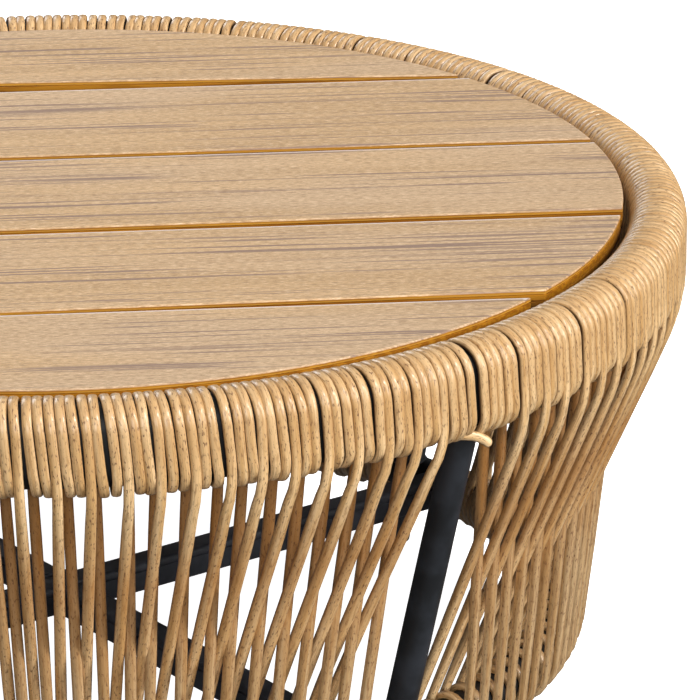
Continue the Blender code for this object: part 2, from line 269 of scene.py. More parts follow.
# ---------------------------------------------------------------- shader workshop

def paint(red, green, blue):
    """Display colour, 0 to 255 a channel, as the linear colour that shaders take."""
    shares = np.array([red, green, blue]) / 255
    linear = np.where(shares <= 0.04045, shares / 12.92, ((shares + 0.055) / 1.055) ** 2.4)
    return (*linear.tolist(), 1.0)


class Amount:
    """A value inside a material. + - * with numbers or other amounts adds a Math node."""

    def __init__(self, finish, socket):
        self.finish = finish
        self.socket = socket

    def math(self, operation, first, second):
        made = self.finish.node("ShaderNodeMath", {"operation": operation}, {0: first, 1: second})
        return Amount(self.finish, made.outputs[0])

    def __add__(self, other):
        return self.math("ADD", self, other)

    __radd__ = __add__

    def __sub__(self, other):
        return self.math("SUBTRACT", self, other)

    def __rsub__(self, other):
        return self.math("SUBTRACT", other, self)

    def __mul__(self, other):
        return self.math("MULTIPLY", self, other)

    __rmul__ = __mul__


class Workshop:
    """Adds nodes to one node tree, and joins them."""

    def __init__(self, tree):
        self.tree = tree

    def feed(self, socket, value):
        if isinstance(value, Amount):
            value = value.socket
        if isinstance(value, bpy.types.NodeSocket):
            self.tree.links.new(value, socket)
        else:
            socket.default_value = value

    def node(self, kind, settings=None, sockets=None):
        """Add a node: its settings first, a ramp's stops among them, then values or links for its sockets."""
        made = self.tree.nodes.new(kind)
        for key, value in (settings or {}).items():
            if key == "stops":
                stops = made.color_ramp.elements
                for number, (place, colour) in enumerate(value):
                    stop = stops[number] if number < len(stops) else stops.new(place)
                    stop.position = place
                    stop.color = colour
            else:
                setattr(made, key, value)
        for key, value in (sockets or {}).items():
            self.feed(made.inputs[key], value)
        return made


class Finish(Workshop):
    """A material being put together round one Principled shader; constants are set on its own sockets."""

    def __init__(self, name, **constants):
        self.material = bpy.data.materials.new(name)
        self.material.use_nodes = True
        super().__init__(self.material.node_tree)
        self.shader = self.tree.nodes["Principled BSDF"]
        for key, value in constants.items():
            self.shader.inputs[key.replace("_", " ")].default_value = value

    def place(self):
        """Position on the object, in metres."""
        return self.node("ShaderNodeTexCoord").outputs["Object"]

    def mark(self, name):
        """Value that the piece carries at its points under a name; 0 on a piece that has none."""
        return Amount(self, self.node("ShaderNodeAttribute", {"attribute_name": name}).outputs["Fac"])

    def parts(self, vector):
        made = self.node("ShaderNodeSeparateXYZ", None, {0: vector})
        return [Amount(self, made.outputs[i]) for i in range(3)]

    def joined(self, x, y, z):
        return self.node("ShaderNodeCombineXYZ", None, {0: x, 1: y, 2: z}).outputs[0]

    def stretched(self, vector, factors):
        made = self.node("ShaderNodeVectorMath", {"operation": "MULTIPLY"}, {0: vector, 1: factors})
        return made.outputs[0]

    def noise(self, vector, scale=1.0, detail=2.0, rough=0.5, warp=0.0):
        """Soft noise about 0.5. The vector's own factors and scale give its waves for each metre."""
        made = self.node("ShaderNodeTexNoise", None, {"Vector": vector, "Scale": scale, "Detail": detail,
                                                      "Roughness": rough, "Distortion": warp})
        return Amount(self, made.outputs[0])

    def eased(self, amount, low, high):
        """0 below low, 1 above high, smooth between."""
        made = self.node("ShaderNodeMapRange", {"interpolation_type": "SMOOTHSTEP"},
                         {"Value": amount, "From Min": low, "From Max": high})
        return Amount(self, made.outputs[0])

    def mixed(self, first, second, share):
        """Colour from first to second as share goes from 0 to 1."""
        made = self.node("ShaderNodeMix", {"data_type": "RGBA"}, {"Factor": share, 6: first, 7: second})
        return made.outputs[2]

    def raise_by(self, height, depth, strength):
        """Bump whose height of 1 stands depth metres proud."""
        made = self.node("ShaderNodeBump", None, {"Height": height, "Distance": depth, "Strength": strength})
        self.feed(self.shader.inputs["Normal"], made.outputs[0])

    def done(self, **sockets):
        for key, value in sockets.items():
            self.feed(self.shader.inputs[key.replace("_", " ")], value)
        return self.material


def cord_finish():
    """Round synthetic wicker: tan, with dark flecks drawn out along the cord, faint lengthwise ribs, painted
    brown shade in the creases where it lies against its neighbours, painted brown shade on the strands that
    run up inside under the rim, and a satin skin. Reads the piece's own map: metres along the cord, then the
    share of the way round it, 0 on the side that lies on the steel."""
    cord = Finish("tan_wicker_cord", Specular_IOR_Level=0.5, Coat_Roughness=0.18, Coat_IOR=1.45)
    chart = cord.node("ShaderNodeUVMap", {"uv_map": "along_cord"}).outputs[0]
    way, round_it, _ = cord.parts(chart)
    _, _, height = cord.parts(cord.place())
    girth = 0.016
    across = round_it * girth

    def drawn_out(along, over, seed, rough=0.5):
        """Noise with its own waves for each metre along the cord and over its width."""
        return cord.noise(cord.joined(way * along, across * over, seed), 1.0, 2.0, rough)

    flecks = cord.eased(drawn_out(300.0, 1150.0, 0.0, 0.55), 0.560, 0.665)
    cluster = cord.eased(drawn_out(22.0, 80.0, 0.0), 0.38, 0.60)
    flecks = flecks * (cluster * 0.45 + 0.55)
    ribs = drawn_out(24.0, 2100.0, 4.0, 0.6)
    tone = drawn_out(7.0, 260.0, 9.0)
    smear = cord.eased(drawn_out(90.0, 700.0, 2.0, 0.6), 0.5, 0.72)
    rim_foot = RIM_Z - RIM_TALL
    on_rim = cord.eased(height, rim_foot, RIM_Z)
    tight = cord.eased(height, rim_foot, rim_foot + 0.012)
    off_middle = round_it - 0.5
    # painted shade: the cord's flanks darken to brown where it lies against its neighbours
    crease_shade = cord.eased(off_middle * off_middle * 4.0, 0.09, 0.29)
    colour = cord.mixed(paint(210, 168, 112), paint(238, 204, 154), cord.eased(tone, 0.34, 0.66))
    for stain, share in ((paint(164, 120, 72), cord.eased(ribs, 0.50, 0.68) * 0.55),
                         (paint(140, 98, 56), smear * 0.60),
                         (paint(178, 134, 82), on_rim * 0.38),
                         # painted shade in the creases between neighbouring cords
                         (paint(72, 38, 12), crease_shade * (tight * 0.52 + 0.40)),
                         # painted shade: the strands that run up inside, under the rim, are painted darker
                         # brown
                         (paint(164, 104, 36), cord.mark("behind") * 0.62),
                         (paint(104, 66, 38), flecks * 0.85)):
        colour = cord.mixed(colour, stain, share)
    cord.raise_by(ribs * 0.6 - flecks * 0.5, 0.00022, 0.55)
    return cord.done(Base_Color=colour, Roughness=0.35 + flecks * 0.25 + ribs * 0.12,
                     Coat_Weight=0.55 - flecks * 0.4)


def plank_finish(top, thick):
    """Wood-look planks: greyish tan with long thin grey-brown streaks along X and small pores, a dry
    brushed face, a painted pale highlight along the arris of the back edge, and warm golden sides with a
    painted highlight line high up and painted shade darkening them downwards."""
    wood = Finish("brushed_teak_plank", Specular_IOR_Level=0.35)
    at = wood.place()
    _, _, height = wood.parts(at)

    def grain(along, over, detail, rough=0.5, warp=0.0):
        """Noise with its own waves for each metre along the plank and across it."""
        return wood.noise(wood.stretched(at, (along, over, over)), 1.0, detail, rough, warp)

    drift = grain(2.2, 9.0, 2.0)
    bands = grain(3.0, 62.0, 3.0, 0.55, 0.35)
    streaks = grain(7.0, 330.0, 3.0, 0.55)
    lines = wood.eased(grain(6.0, 330.0, 1.0), 0.545, 0.625)
    where = wood.eased(grain(5.0, 40.0, 2.0), 0.40, 0.54)
    fine = grain(170.0, 900.0, 3.0, 0.8)
    pores = wood.eased(grain(150.0, 1100.0, 1.0), 0.60, 0.70)
    colour = wood.mixed(paint(194, 158, 115), paint(210, 173, 128), wood.eased(bands, 0.36, 0.64))
    for stain, share in ((paint(205, 177, 148), wood.eased(drift, 0.42, 0.60) * 0.5),
                         (paint(178, 147, 116), wood.eased(streaks, 0.50, 0.66) * 0.45),
                         (paint(236, 208, 172), wood.eased(fine, 0.50, 0.64) * 0.70),
                         (paint(160, 130, 98), wood.eased(1.0 - fine, 0.50, 0.64) * 0.75),
                         (paint(140, 116, 104), lines * where * 0.85),
                         (paint(140, 110, 80), pores * 0.45),
                         # painted highlight: a pale line along the arris of the back edge
                         (paint(232, 222, 216), wood.eased(wood.mark("edge_highlight"), 0.05, 0.55) * 0.75)):
        colour = wood.mixed(colour, stain, share)
    side = 1.0 - wood.eased(height, top - 0.0014, top - 0.0006)
    # painted highlight: a paler line high on the side, just above the first milled line
    side_highlight = wood.eased(height, top - 0.0032, top - 0.0024)
    side_highlight = side_highlight - wood.eased(height, top - 0.0022, top - 0.0014)
    # painted shade: the side darkens towards its foot, deep in the gap between planks
    lit = wood.eased(height, top - thick, top - thick * 0.28)
    side_tone = wood.mixed(paint(152, 94, 6), paint(184, 124, 20), wood.eased(streaks, 0.42, 0.60))
    side_tone = wood.mixed(side_tone, paint(214, 160, 62), side_highlight * 0.65)
    side_tone = wood.mixed(paint(56, 28, 2), side_tone, lit)
    colour = wood.mixed(colour, side_tone, side)
    wood.raise_by(streaks * 0.5 + fine * 0.5 - lines * 0.9 - pores * 0.8, 0.00016, 0.45)
    return wood.done(Base_Color=colour, Roughness=0.50 + streaks * 0.14 + lines * 0.12)


def powder_finish(name, dark, light):
    """Powder-coated steel between a dark and a light tone: a fine orange-peel skin, small dull patches and
    a few paler grains."""
    coat = Finish(name, Specular_IOR_Level=0.42)
    at = coat.place()
    peel = coat.noise(at, 1500.0, 2.0, 0.5)
    grit = coat.noise(at, 4200.0, 1.0, 0.5)
    patch = coat.noise(at, 34.0, 3.0, 0.6)
    colour = coat.mixed(dark, light, coat.eased(patch, 0.35, 0.65))
    colour = coat.mixed(colour, light, coat.eased(grit, 0.62, 0.74) * 0.5)
    coat.raise_by(peel * 0.7 + grit * 0.3, 0.00012, 0.5)
    return coat.done(Base_Color=colour, Roughness=0.44 + patch * 0.12 + grit * 0.08)


def glide_finish():
    """Moulded foot cap: dark grey plastic with a fine spark texture, worn paler low down."""
    cap = Finish("moulded_foot_cap", Specular_IOR_Level=0.4)
    at = cap.place()
    _, _, height = cap.parts(at)
    spark = cap.noise(at, 2600.0, 2.0, 0.6)
    worn = 1.0 - cap.eased(height, 0.0004, 0.0022)
    scuff = cap.noise(at, 420.0, 3.0, 0.6)
    colour = cap.mixed(paint(28, 28, 30), paint(44, 44, 46), spark)
    colour = cap.mixed(colour, paint(96, 94, 90), worn * cap.eased(scuff, 0.45, 0.6) * 0.8)
    cap.raise_by(spark, 0.00010, 0.5)
    return cap.done(Base_Color=colour, Roughness=0.5 + spark * 0.2)


def screw_finish():
    """Zinc-plated screw: grey with a turned grain, dulled in patches."""
    zinc = Finish("zinc_screw", Metallic=1.0)
    at = zinc.place()
    turned_grain = zinc.noise(zinc.stretched(at, (900.0, 900.0, 9000.0)), 1.0, 2.0, 0.5)
    dull = zinc.noise(at, 700.0, 3.0, 0.6)
    colour = zinc.mixed(paint(150, 152, 156), paint(196, 198, 200), turned_grain)
    zinc.raise_by(turned_grain, 0.00006, 0.4)
    return zinc.done(Base_Color=colour, Roughness=0.26 + dull * 0.24)


# ---------------------------------------------------------------- cord winding

def rim_section():
    """The line that the cord's middle follows round the rim: (middle radius, middle height, half width,
    half height, corner radius), read from the rim tube and moved out by the cord's own offset."""
    near, far, low, high = reach("rim_tube")
    half_wide, half_tall = (far - near) / 2 + CORD_OFF, (high - low) / 2 + CORD_OFF
    return (near + far) / 2, (low + high) / 2, half_wide, half_tall, RIM_CORNER + CORD_OFF


def ring_section():
    """Middle radius and middle height of the lower ring, and the cord line's radius round its tube."""
    near, far, low, high = reach("lower_ring_tube")
    return (near + far) / 2, (low + high) / 2, (high - low) / 2 + CORD_OFF


RIM_R, RIM_Z, RIM_HALF, RIM_TALL, RIM_BEND = rim_section()
RING_R, RING_Z, RING_BEND = ring_section()

# Middles of the rim section's four round corners
OUT_C = RIM_R + RIM_HALF - RIM_BEND
IN_C = RIM_R - RIM_HALF + RIM_BEND
UP_C = RIM_Z + RIM_TALL - RIM_BEND
LOW_C = RIM_Z - RIM_TALL + RIM_BEND


def stitched(parts):
    """Join runs of (radius, height) points, dropping a repeated point where two runs meet. Also gives the
    index in the joined line of each run's last point."""
    line, ends = [parts[0]], [len(parts[0]) - 1]
    for part in parts[1:]:
        if np.hypot(*(part[0] - line[-1][-1])) < 1e-5:
            part = part[1:]
        line.append(part)
        ends.append(ends[-1] + len(part))
    return np.concatenate(line), ends


def straight(start, end, count):
    """Evenly spaced (radius, height) points from start to end."""
    share = np.linspace(0, 1, count)[:, None]
    return np.array(start) * (1 - share) + np.array(end) * share


def plain_turn():
    """One turn round the rim, crown to crown, as (radius, height) points, with its keys: (point, slots moved
    on by then, share of sag, kind of place)."""
    line, ends = stitched([
        bend((OUT_C, UP_C), RIM_BEND, 90, 0),
        straight((OUT_C + RIM_BEND, UP_C), (OUT_C + RIM_BEND, LOW_C), 4),
        bend((OUT_C, LOW_C), RIM_BEND, 0, -45),
        bend((OUT_C, LOW_C), RIM_BEND, -45, -90),
        bend((IN_C, LOW_C), RIM_BEND, -90, -180),
        straight((IN_C - RIM_BEND, LOW_C), (IN_C - RIM_BEND, UP_C), 4),
        bend((IN_C, UP_C), RIM_BEND, 180, 90)])
    keys = [(0, 0.0, 0.0, "crown"), (ends[0], 0.22, 0.0, "face"), (ends[1], 0.60, 0.3, "face"),
            (ends[2], 0.75, 1.0, "low"), (ends[4], 1.0, 0.5, "under"), (ends[5], 1.1, 0.0, "face")]
    return line, keys


def strand_set():
    """One turn that leaves the rim as a strand: off its face on a wide curve, straight down to the lower
    ring's inner side, one and a half turns round it, the last part lying over the first, and straight up
    from its outer side to the rim's inner side. Points and keys as for a plain turn."""
    face = OUT_C + RIM_BEND
    start_z = RIM_Z - STRAND_START
    turn_out = bend((face - STRAND_BEND, start_z), STRAND_BEND, 0, -STRAND_LEAN, 7)
    lean = math.radians(STRAND_LEAN)
    meet = (RING_R - RING_BEND * math.cos(lean), RING_Z + RING_BEND * math.sin(lean))
    angles = np.linspace(180 - STRAND_LEAN, WOUND_TO, 29)
    lap = np.clip((angles - LAP_FROM) / LAP_OVER, 0, 1)
    lap = lap * lap * (3 - 2 * lap)
    wide = RING_BEND + LAP_OUT * lap
    wound = np.stack([RING_R + LAP_ACROSS * lap + wide * np.cos(np.radians(angles)),
                      RING_Z - LAP_DOWN * lap + wide * np.sin(np.radians(angles))], 1)
    rise = math.radians(STRAND_RISE)
    arrive = (IN_C - RIM_BEND * math.cos(rise), UP_C + RIM_BEND * math.sin(rise))
    line, ends = stitched([
        bend((OUT_C, UP_C), RIM_BEND, 90, 0),
        straight((face, UP_C), (face, start_z), 4),
        turn_out,
        straight(turn_out[-1], meet, 9),
        wound,
        straight(wound[-1], arrive, 11),
        bend((IN_C, UP_C), RIM_BEND, 180 - STRAND_RISE, 90)])
    foot = ends[3]
    keys = [(0, 0.0, 0.0, "crown"), (ends[0], 0.22, 0.0, "face"), (ends[1], 0.72, 0.0, "strand_top"),
            (foot, 1.1, 0.0, "strand_foot"), (foot + 9, 1.83, 0.0, "ring"), (foot + 18, 2.56, 0.0, "ring"),
            (ends[4], 3.3, 0.0, "strand_foot"), (ends[5], 1.15, 0.0, "strand_top")]
    return line, keys


def crowded(turn, feet):
    """Feet of the strands close up before the cross bar that meets the ring next to the following leg."""
    return np.where(feet & (turn > CLOSE_FROM), CLOSE_FROM + (turn - CLOSE_FROM) * CLOSE_BY, turn)


def cord_path(quarter):
    """The middle line of one quarter's cord as turn, radius and height arrays: plain turns by the leg, then
    strand sets, and a tucked end at each side. Between keys the turn grows with the distance along the
    (radius, height) line. Each key is shaken a little, and the turns crowd up to a wider gap now and then."""
    dice = np.random.RandomState(WEAVE_SEED + quarter)
    plain, strand = plain_turn(), strand_set()
    tail_line = plain[0][-14:]
    lines = [tail_line[:-1]]
    marks = [(0, 0.12, 0.0, False)]
    at = len(tail_line) - 1
    gaps = np.append(0, np.cumsum(dice.randint(*GAP_EVERY, 26)))
    order = [plain] * PLAIN_TURNS + [strand, plain, plain] * STRAND_SETS
    for slot, (line, keys) in enumerate(order):
        group = np.searchsorted(gaps, slot, side="right")
        drift = CROWDING * ((gaps[group - 1] + gaps[group]) / 2 - slot)
        for index, along, sag, kind in keys:
            moved = slot + drift + along + dice.normal(0, KEY_SHAKE[kind]) / SLOT
            drop = sag * abs(dice.normal(0.0017, 0.0008))
            marks.append((at + index, moved, drop, kind in ("strand_foot", "ring")))
        lines.append(line[:-1])
        at += len(line) - 1
    line, keys = plain
    for index, along, sag, _ in keys[:4]:
        marks.append((at + index, len(order) + along, sag * 0.001, False))
    last = keys[4][0]
    marks.append((at + last, len(order) + 0.9, 0.0, False))
    lines.append(line[:last + 1])
    flat = np.concatenate(lines)
    key_at, key_slots, key_sag, feet = (np.array(column) for column in zip(*marks))
    key_degrees = crowded(FIRST_TURN + key_slots * SLOT, feet)
    step = np.append(0, np.cumsum(np.hypot(*np.diff(flat, axis=0).T)))
    turn = np.interp(step, step[key_at], key_degrees)
    sag = np.interp(step, step[key_at], key_sag)
    soft = np.array([1.0, 2.0, 3.0, 2.0, 1.0]) / 9
    rounded = np.convolve(np.pad(turn, 2, mode="edge"), soft, "valid")
    return rounded, flat[:, 0], flat[:, 1] - sag


def clear_of_legs(turn, radius, height):
    """Move a cord sideways where it would enter a leg: at each height the leg's middle stands at the foot
    radius plus height times slope, and the cord keeps its own half width off the tube."""
    middle = foot_of(1) + LEG_SLOPE * height
    off = (radius - middle) / math.sqrt(1 + LEG_SLOPE ** 2)
    hold = LEG_RADIUS + CORD_THICK / 2 + 0.0004
    side = np.sqrt(np.clip(hold ** 2 - off ** 2, 0, None))
    inside = (side > 0) & (height < RIM_Z - RIM_ROOM)
    need = np.where(inside, np.degrees((side + CORD_WIDE / 2) / radius), 0.0)
    for _ in range(3):
        need = np.maximum(need, np.convolve(np.pad(need, 2, mode="edge"), np.full(5, 0.2), "valid"))
    near = (turn + 45) % 90 - 45
    pushed = np.where(np.abs(near) < need, np.where(near < 0, -1, 1) * need, near)
    return turn - near + pushed


def round_table(turn, quarter, radius, height):
    """Angles from +X, and points, of a line given by its turns past one quarter's leg."""
    angle = np.radians(turn + LEG_TURN + 90 * quarter)
    return angle, np.stack([radius * np.cos(angle), radius * np.sin(angle), height], 1)


def cord_run(name, quarter, finish):
    """Sweep a flattened round section along one quarter's cord. At each point the section's wide way is the
    direction round the table made square to the path, and its thin way is square to both. The section
    fills out where the cord runs free. The mark named behind picks out the strands that run up inside, under
    the rim, for painted shade."""
    turn, radius, height = cord_path(quarter)
    angle, path = round_table(clear_of_legs(turn, radius, height), quarter, radius, height)
    ahead = unit(np.gradient(path, axis=0))
    wide = square_to(ahead, np.stack([-np.sin(angle), np.cos(angle), np.zeros(len(angle))], 1))
    way = way_along(path)
    swell = 1 + SWELL * np.sin(way * 41 + quarter) * np.sin(way * 13.7)
    fills_over = 0.03
    off_rim = np.clip((RIM_Z - RIM_TALL - 0.004 - height) / fills_over, 0, 1)
    off_ring = np.clip((height - RING_Z - 0.012) / fills_over, 0, 1)
    free = off_rim * off_ring
    broad = (CORD_WIDE + (STRAND_WIDE - CORD_WIDE) * free) * swell
    plump = (CORD_THICK + (STRAND_THICK - CORD_THICK) * free) * swell
    across = np.sign(np.cos(AROUND)) * np.abs(np.cos(AROUND)) ** SQUARED[0] / 2
    deep = np.sign(np.sin(AROUND)) * np.abs(np.sin(AROUND)) ** SQUARED[1] / 2
    rings = swept(path, wide, across * broad[:, None], np.cross(ahead, wide), deep * plump[:, None])
    piece = skin(name, rings, finish, way=way)
    # painted shade: marks the strands that run up inside, under the rim, to be painted darker brown
    behind = np.clip((IN_C + 0.006 - radius) / 0.012, 0, 1) * np.clip((height - 0.11) / 0.10, 0, 1)
    behind *= height < RIM_Z + RIM_TALL * 0.5
    note(piece, "behind", np.repeat(behind, CORD_SIDES))
    fit(piece, "cord", f"winding_{quarter + 1}")


def tail_end(name, quarter, finish):
    """Short tail of one quarter's cord: it comes from behind the last turn and ends, cut short, just past
    the leg's top. A smooth curve through a few (turn, radius, height) points, swept as the cord is, with
    its ends drawn to a dome."""
    marks = np.array([(-4.4, 0.3850, 0.2670), (-3.2, 0.3900, 0.2676), (-2.0, 0.3945, 0.2664),
                      (-1.2, 0.3975, 0.2632), (-0.7, 0.3985, 0.2592)])
    share = np.linspace(0, len(marks) - 1, 29)
    smooth = np.stack([np.interp(share, np.arange(len(marks)), marks[:, i]) for i in range(3)], 1)
    for _ in range(6):
        smooth[1:-1] = (smooth[:-2] + 2 * smooth[1:-1] + smooth[2:]) / 4
    turn, radius, height = smooth.T
    angle, path = round_table(turn, quarter, radius, height)
    ahead = unit(np.gradient(path, axis=0))
    thin = square_to(ahead, np.stack([np.cos(angle), np.sin(angle), np.zeros(len(angle))], 1))
    way = way_along(path)
    dome_over = 0.003
    from_end = np.minimum(way, way[-1] - way) / dome_over
    dome = np.sqrt(np.clip(1 - (1 - from_end).clip(0, 1) ** 2, 0.02, 1))[:, None] / 2
    rings = swept(path, np.cross(thin, ahead), np.cos(AROUND) * dome * CORD_WIDE,
                  thin, np.sin(AROUND) * dome * CORD_THICK)
    fit(skin(name, rings, finish, way=way), "cord")


# ---------------------------------------------------------------- planks

def straight_edge(points, sign):
    """Front (sign -1) or back (+1) straight edge of a plank, as its direction's normal angle and distance
    from the axis, from the two corner points that lie furthest that way; None on the round outside."""
    left = points[points[:, 0] < 0]
    right = points[points[:, 0] > 0]
    a = left[np.argmax(sign * left[:, 1])]
    b = right[np.argmax(sign * right[:, 1])]
    shortest_edge = 0.2
    if b[0] - a[0] < shortest_edge:
        return None
    slope = (b[1] - a[1]) / (b[0] - a[0])
    return math.pi / 2 + math.atan(slope), (a[1] - slope * a[0]) * math.cos(math.atan(slope))


def plank_outline(front, back, radius, inset):
    """Outline of the strip between two straight edges inside a circle, drawn in by inset all round. A line
    at distance d from the axis, with its normal at angle n, meets the circle at n plus and minus acos(d/r).
    Without a straight edge the two round ends meet, and one starts a little on so that no point repeats."""
    r = radius - inset
    if front:
        spread = math.acos((front[1] + inset) / r)
        right_start, left_end = front[0] - spread, front[0] + spread
    else:
        right_start, left_end = -math.pi / 2, 3 * math.pi / 2
    if back:
        spread = math.acos((back[1] - inset) / r)
        right_end, left_start = back[0] - spread, back[0] + spread
    else:
        right_end, left_start = math.pi / 2, math.pi / 2
    right = np.linspace(right_start, right_end, ARC_POINTS)
    left = np.linspace(left_start, left_end, ARC_POINTS)
    start_on = 0.02
    if not back:
        left[0] += (left[1] - left[0]) * start_on
    if not front:
        right[0] += (right[1] - right[0]) * start_on
    turn = np.concatenate([right, left])
    return np.stack([r * np.cos(turn), r * np.sin(turn)], 1)


def plank_profile(thick):
    """(inset, depth) down the side of a plank: flat margin, rounded arris, two fine milled lines, rounded
    lower arris, flat margin."""
    t = np.radians(np.linspace(0, 90, 6))
    upper = np.stack([ARRIS * (1 - np.sin(t)), ARRIS * (1 - np.cos(t))], 1)
    line = np.array([(0, 0), (LINE_DEEP, 0.0003), (LINE_DEEP, 0.0008), (0, 0.0011)]) + (0, LINE_TOP)
    lower = np.stack([upper[::-1, 0], thick - upper[::-1, 1]], 1)
    margin = np.array([(ARRIS + ARRIS_MARGIN, 0.0)])
    return np.concatenate([margin, upper, line, line + (0, LINE_APART), lower, margin + (0, thick)])


def build_planks(finish):
    """Each plank: its outline at each (inset, depth) of the side profile, from the underside up. The two
    corners of the straight back edge are marked on the arris's top two rings for a painted pale highlight
    along that edge."""
    for number in range(1, 6):
        node = f"plank_{number}"
        points = points_of(node)
        top, low = points[:, 2].max(), points[:, 2].min()
        same_level = 0.0004
        side = points[np.abs(points[:, 2] - (top - FRAME_EASE)) < same_level]
        radius = np.hypot(side[:, 0], side[:, 1]).max()
        front, back = straight_edge(side, -1), straight_edge(side, 1)
        rings = []
        for inset, depth in plank_profile(top - low)[::-1]:
            flat = plank_outline(front, back, radius, inset)
            rings.append(np.column_stack([flat, np.full(len(flat), top - depth)]))
        piece = skin(f"top_plank_{number}", np.array(rings), finish, sharp=50)
        # painted highlight: marks the back edge's arris to be painted pale
        edge_highlight = np.zeros((len(rings), 2 * ARC_POINTS))
        if back:
            edge_highlight[-3:-1, ARC_POINTS - 1:ARC_POINTS + 1] = 1
        note(piece, "edge_highlight", edge_highlight.ravel())
        fit(piece, "planks", node)


# ---------------------------------------------------------------- steel frame

def build_steel(finish, cross, shaded_under_cord):
    """Rings, legs and lower cross. The two rings, which lie under the cord, have a near-black copy of the
    powder coat, painted shade; the lower cross has a paler copy, painted light.
    """
    angles = np.radians(np.arange(0, 360, 1.5))
    near, far, low, high = reach("rim_tube")
    oval = rounded_box((far - near) / 2, (high - low) / 2, RIM_CORNER)
    oval = oval + ((near + far) / 2, (low + high) / 2)
    fit(skin("rim_oval_tube", turned(oval, angles)[::-1], shaded_under_cord, loop=True), "frame", "rim_tube")
    _, _, low, high = reach("lower_ring_tube")
    ring = turned(bend((RING_R, (low + high) / 2), (high - low) / 2, 0, 345, 15), angles)
    fit(skin("lower_ring_round_tube", ring[::-1], shaded_under_cord, loop=True), "frame", "lower_ring_tube")
    for number in range(1, 5):
        build_leg(number, finish)
    build_lower_cross(cross)


def build_leg(number, finish):
    """Round tube leaning outwards: level circles, stretched along the lean so that the tube stays round,
    carried up from the foot cap to inside the rim."""
    turn = math.radians(LEG_TURN + 90 * (number - 1))
    foot = foot_of(number)
    low = points_of(f"leg_{number}")[:, 2].min()
    heights = np.linspace(low, RIM_Z - LEG_STOP, 12)[:, None]
    around = 2 * np.pi * np.arange(40)[None] / 40
    out = foot + LEG_SLOPE * heights + LEG_RADIUS * math.sqrt(1 + LEG_SLOPE ** 2) * np.cos(around)
    side = np.broadcast_to(LEG_RADIUS * np.sin(around), out.shape)
    rings = faced(out, side, np.broadcast_to(heights, out.shape), turn)
    fit(skin(f"leg_tube_{number}", rings, finish, sharp=50), "frame", f"leg_{number}")
    weld_round_leg(number, turn, foot, finish)


def faced(out, side, height, turn):
    """Points from their distances outwards and sideways, as seen facing one turn from the table's axis."""
    c, s = math.cos(turn), math.sin(turn)
    return np.stack([out * c - side * s, out * s + side * c, height], -1)


def lumps(count, repeat, seed):
    """Weld ripple: 1 plus a short wave and slow unevenness."""
    dice = np.random.RandomState(seed)
    phase = dice.uniform(0, 6.28, 3)
    t = np.linspace(0, 2 * np.pi, count, endpoint=False)
    short = np.sin(t * repeat + phase[0])
    return 1 + RIPPLE * (short + np.sin(t * 3 + phase[1]) + 0.6 * np.sin(t * 7 + phase[2]))


def bead(name, path, radius, finish, seed, repeat):
    """Weld bead: a round section of uneven size carried along a closed path."""
    ahead = unit(np.roll(path, -1, 0) - np.roll(path, 1, 0))
    out = square_to(ahead, path - path.mean(0))
    size = radius * lumps(len(path), repeat, seed)[:, None]
    around = 2 * np.pi * np.arange(8) / 8
    rings = swept(path, out, np.cos(around) * size, np.cross(ahead, out), np.sin(around) * size)
    fit(skin(name, rings, finish, loop=True), "frame")


def weld_round_leg(number, turn, foot, finish):
    """Beads where a leg enters the lower ring from above and leaves it below: level circles round the leg."""
    t = 2 * np.pi * np.arange(72) / 72
    reach_up = 0.0108
    for word, height in (("over", RING_Z + reach_up), ("under", RING_Z - reach_up)):
        out = foot + LEG_SLOPE * height + (LEG_RADIUS + WELD_OFF) * np.cos(t)
        path = faced(out, (LEG_RADIUS + WELD_OFF) * np.sin(t), np.full(len(t), height), turn)
        bead(f"leg_weld_{word}_{number}", path, LEG_WELD, finish, number * 3 + len(word), 26)


def bar(name, node, start, end, turn, height, finish):
    """Square tube with round corners, a fine line milled high in each side and eased ends, along one turn
    from one distance off the axis to another."""
    flat = rounded_box(BAR_HALF, BAR_HALF, BAR_CORNER)
    right_line = np.array([(BAR_HALF, 0.0042), (0.0088, 0.0048), (0.0088, 0.0056), (BAR_HALF, 0.0062)])
    left_line = right_line[::-1] * (-1, 1)
    flat = np.concatenate([right_line, flat[:10], left_line, flat[10:]])
    along = np.array([start, start + BAR_EASE, end - BAR_EASE, end])[:, None]
    shrink = np.array([1 - BAR_EASE / BAR_HALF, 1.0, 1.0, 1 - BAR_EASE / BAR_HALF])[:, None]
    out = np.broadcast_to(along, (4, len(flat)))
    rings = faced(out, flat[:, 0] * shrink, flat[:, 1] * shrink + height, turn)
    fit(skin(name, rings, finish, sharp=40), "frame", node)


def build_lower_cross(finish):
    """One bar through and two half bars against it, with a bead round each half bar's foot and one round
    each of the four ends, which follows the lower ring's round side."""
    low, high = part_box("lower_bar_long")
    height = (low[2] + high[2]) / 2
    end = RING_R - 0.0125
    turn = math.radians(BAR_TURN)
    bar("cross_bar_long", "lower_bar_long", -end, end, turn, height, finish)
    for number in (1, 2):
        across = turn + math.radians(90 * (2 * number - 1))
        bar(f"cross_bar_half_{number}", f"lower_bar_half_{number}", 0.0102, end, across, height, finish)
        flat = rounded_box(BAR_HALF + 0.0003, BAR_HALF + 0.0003, BAR_CORNER, 8)
        path = faced(np.full(len(flat), 0.0108), flat[:, 0], flat[:, 1] + height, across)
        bead(f"cross_weld_{number}", path, CROSS_WELD, finish, 40 + number, 30)
    flat = rounded_box(BAR_HALF + 0.0003, 0.0085, BAR_CORNER, 8)
    out = RING_R - np.sqrt(np.clip(RING_TUBE ** 2 - flat[:, 1] ** 2, 0, None)) - WELD_OFF
    for number in range(4):
        path = faced(out, flat[:, 0], flat[:, 1] + height, turn + math.pi / 2 * number)
        bead(f"ring_weld_{number + 1}", path, RING_WELD, finish, 60 + number, 30)


# ---------------------------------------------------------------- stage

